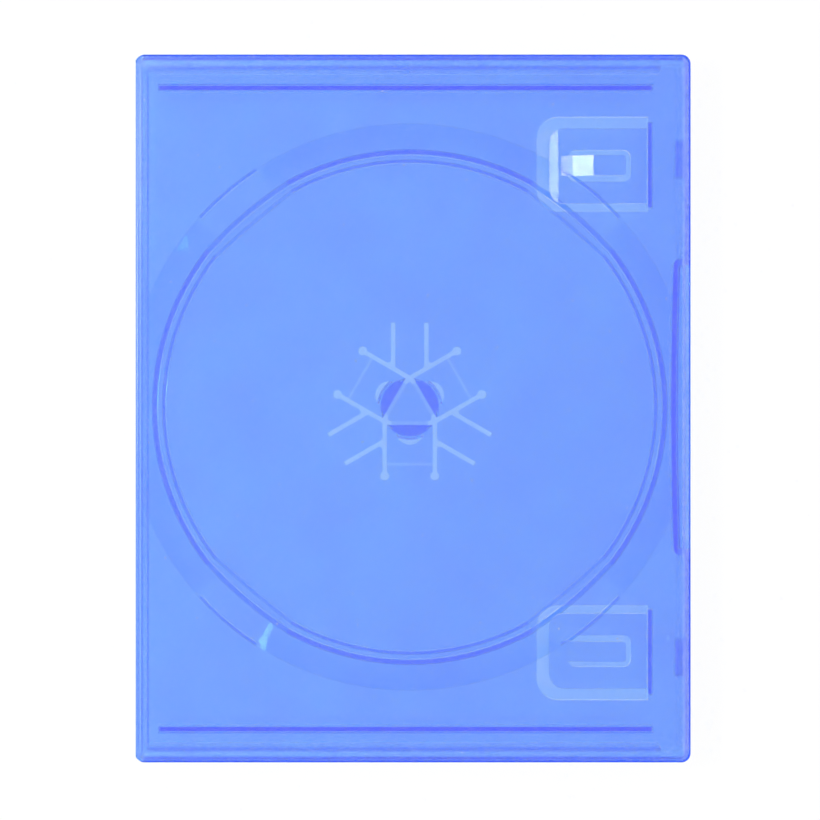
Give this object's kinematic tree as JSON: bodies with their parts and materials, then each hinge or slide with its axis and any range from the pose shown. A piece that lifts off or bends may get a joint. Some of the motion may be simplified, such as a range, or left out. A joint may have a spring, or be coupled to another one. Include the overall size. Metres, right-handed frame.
{
  "type": "game disc case",
  "caption": "Translucent keep case for a game disc: hinged cover and spine, push-release disc hub, booklet clips, thumb notch and a clear outer sleeve.",
  "frame": {"origin": "middle of the closed case's back, on the surface it lies on", "axes": "+X from the spine to the opening side, +Y to the top of the case, +Z out of the front cover"},
  "size_m": [0.1344, 0.1714, 0.014],
  "materials": {
    "translucent_blue": "smooth translucent polypropylene",
    "clear_film": "clear glossy film"
  },
  "bodies": {
    "tray": {"back_tray": "translucent_blue", "sleeve_back": "clear_film"},
    "spine": {"spine": "translucent_blue", "sleeve_spine": "clear_film"},
    "cover": {"front_cover": "translucent_blue", "sleeve_front": "clear_film"},
    "button": {"hub_button": "translucent_blue"},
    "lever_1": {"hub_lever_1": "translucent_blue"},
    "lever_2": {"hub_lever_2": "translucent_blue"},
    "lever_3": {"hub_lever_3": "translucent_blue"}
  },
  "joints": [
    {"name": "spine_hinge", "type": "hinge", "parent": "tray", "child": "spine", "pos_m": [-0.06725, 0, 0], "axis": [0, -1, 0], "range_deg": [0, 90]},
    {"name": "cover_hinge", "type": "hinge", "parent": "spine", "child": "cover", "pos_m": [-0.06725, 0, 0.014], "axis": [0, -1, 0], "range_deg": [0, 90]},
    {"name": "button_press", "type": "slide", "parent": "tray", "child": "button", "axis": [0, 0, -1], "range_m": [0, 0.0012], "stiffness_N_per_m": 500},
    {"name": "lever_1_flex", "type": "hinge", "parent": "tray", "child": "lever_1", "pos_m": [-0.0008, -0.01375, 0.00215], "axis": [-1, 0, 0], "range_deg": [0, 7]},
    {"name": "lever_2_flex", "type": "hinge", "parent": "tray", "child": "lever_2", "pos_m": [0.01141, 0.0074, 0.00215], "axis": [0.5, -0.866, 0], "range_deg": [0, 7]},
    {"name": "lever_3_flex", "type": "hinge", "parent": "tray", "child": "lever_3", "pos_m": [-0.01301, 0.0074, 0.00215], "axis": [0.5, 0.866, 0], "range_deg": [0, 7]}
  ],
  "couplings": [
    {"joint": "lever_1_flex", "follows": "button_press", "rad_per_m": 98.039},
    {"joint": "lever_2_flex", "follows": "button_press", "rad_per_m": 98.039},
    {"joint": "lever_3_flex", "follows": "button_press", "rad_per_m": 98.039}
  ]
}
